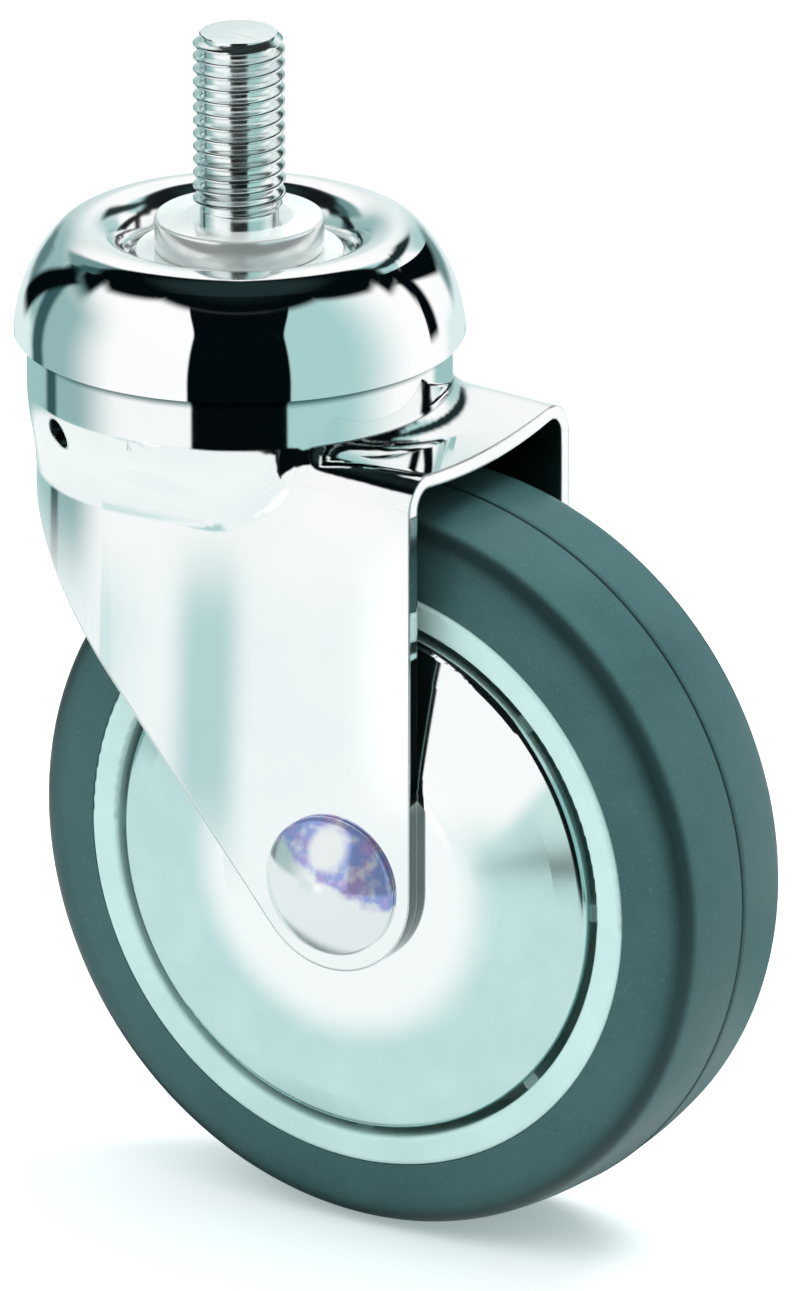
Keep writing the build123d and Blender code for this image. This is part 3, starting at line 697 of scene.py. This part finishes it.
# ---------------------------------------------------------------- threaded stem
# The stem, its flange, the kingpin below and its riveted end are one piece.
STEM_RADIUS, STEM_PITCH, STEM_TOP, STEM_CHAMFER, STEM_NECK = 6.0, 1.75, 24.85, 1.05, 1.5
FLANGE_RADIUS, FLANGE_BOTTOM, FLANGE_TOP_EDGE, FLANGE_LOW_EDGE = 11.0, -4.5, 0.5, 0.4
RIVET_RADIUS, RIVET_TOP, RIVET_EDGE = 8.5, -20.0, 0.3
RIVET_DOME_PLANE, RIVET_DOME_HEIGHT = -20.8, 1.7
STEM_SEGMENTS = 112
bm = bmesh.new()
thread_tube(
    bm, STEM_RADIUS, STEM_PITCH, low=-0.4, high=STEM_TOP, chamfer=STEM_CHAMFER,
    neck=STEM_NECK, rows=18, segments=STEM_SEGMENTS,
)
profile = [(0, 0), (5.2, 0), (6.1, 0)]
profile += arc((FLANGE_RADIUS - FLANGE_TOP_EDGE, -FLANGE_TOP_EDGE), FLANGE_TOP_EDGE, 90, 0, 4)
# the wall's end is a doubled point, which keeps the shading of the wall apart from the edge's
wall_end = FLANGE_BOTTOM + FLANGE_LOW_EDGE
profile += [(FLANGE_RADIUS, wall_end)]
profile += arc((FLANGE_RADIUS - FLANGE_LOW_EDGE, wall_end), FLANGE_LOW_EDGE, 0, -90, 3)
profile += [(6.4, FLANGE_BOTTOM), (STEM_RADIUS, FLANGE_BOTTOM), (STEM_RADIUS, RIVET_TOP)]
profile += arc((RIVET_RADIUS - RIVET_EDGE, RIVET_TOP - RIVET_EDGE), RIVET_EDGE, 90, 0, 3)
for radius, rise in dome(RIVET_RADIUS, RIVET_DOME_HEIGHT, inset=0.0, steps=12):
    profile.append((radius, RIVET_DOME_PLANE - rise))
lathe(bm, profile, STEM_SEGMENTS)
finish_piece(bm, "stem_threaded", "stem", "zinc_steel", "threaded_stem", angle=35)

# ---------------------------------------------------------------- axle bolt
# Its low domed head, with a fine line between dome and rim, is on the near side.
BOLT_RADIUS, BOLT_PITCH, BOLT_END, BOLT_CHAMFER, BOLT_NECK = 4.0, 1.25, 31.5, 0.75, 0.8
SHANK_RADIUS, THREAD_START, THREAD_OVERLAP = 3.98, 12.0, 0.4
HEAD_RADIUS, HEAD_HEIGHT, HEAD_RIM = 9.4, 4.2, 0.8
bm = bmesh.new()
thread_tube(
    bm, BOLT_RADIUS, BOLT_PITCH, low=THREAD_START, high=BOLT_END, chamfer=BOLT_CHAMFER,
    neck=BOLT_NECK, rows=14, segments=64,
)
shank_end = THREAD_START + THREAD_OVERLAP
head_base, rim_top = -LEG_OUTER, -LEG_OUTER - HEAD_RIM
profile = [(0, shank_end), (SHANK_RADIUS, shank_end), (SHANK_RADIUS, head_base)]
profile += [(9.0, head_base), (HEAD_RADIUS - 0.05, head_base - 0.06)]
profile += [(HEAD_RADIUS, head_base - 0.15), (HEAD_RADIUS, rim_top + 0.12)]
for radius, rise in dome(HEAD_RADIUS, HEAD_HEIGHT - HEAD_RIM, inset=0.1, steps=24):
    profile.append((radius, rim_top - rise))
lathe(bm, profile, segments=96)
onto_axle(bm)
finish_piece(bm, "axle_bolt_domed", "fork", "polished_steel", "axle_bolt", angle=35)

# ---------------------------------------------------------------- tyre
# It has a soft step at its shoulders, and the mould's parting line is a ridge beside a groove.
SEAT_RADIUS, RIDGE_SEAT_RADIUS, RIDGE_SEAT_HALF = 40.02, 43.02, 5.02
TYRE_RADIUS, TYRE_HALF, CROWN_RADIUS = 50.0, 14.0, 49.9
SHOULDER_START_RADIUS, SHOULDER_START_WIDTH = 45.86, 13.05
SHOULDER, SIDE_SLOPE, CROWN_SLOPE = 4.0, 9.5, 12.5
half = [(RIDGE_SEAT_RADIUS, 0.0), (RIDGE_SEAT_RADIUS, RIDGE_SEAT_HALF)]
half += [(SEAT_RADIUS, RIDGE_SEAT_HALF), (SEAT_RADIUS, TYRE_HALF - 0.1)]
half += [(SEAT_RADIUS + 0.1, TYRE_HALF), (42.0, 13.66), (44.0, 13.32), (45.8, 13.03)]
lean = radians(SIDE_SLOPE)
shoulder_centre = (
    SHOULDER_START_RADIUS - SHOULDER * sin(lean), SHOULDER_START_WIDTH - SHOULDER * cos(lean)
)
half += arc(shoulder_centre, SHOULDER, 90 - SIDE_SLOPE, CROWN_SLOPE, 9)[1:]
edge_radius, edge_width = half[-1]
for k in range(1, 9):
    share = 1 - k / 9
    half.append((CROWN_RADIUS - (CROWN_RADIUS - edge_radius) * share ** 2, edge_width * share))
parting_line = [
    (CROWN_RADIUS, 0.55),
    (CROWN_RADIUS - 0.12, 0.42),
    (CROWN_RADIUS - 0.12, 0.30),
    (CROWN_RADIUS - 0.02, 0.20),
    (TYRE_RADIUS, 0.10),
    (TYRE_RADIUS, -0.10),
    (CROWN_RADIUS - 0.02, -0.20),
    (CROWN_RADIUS, -0.35),
]
section = half + parting_line + [(radius, -width) for radius, width in reversed(half[1:])]
bm = bmesh.new()
lathe(bm, section, segments=256, closed=True)
onto_axle(bm)
finish_piece(bm, "tyre_moulded", "wheel", "tyre_rubber", "tyre", angle=50)
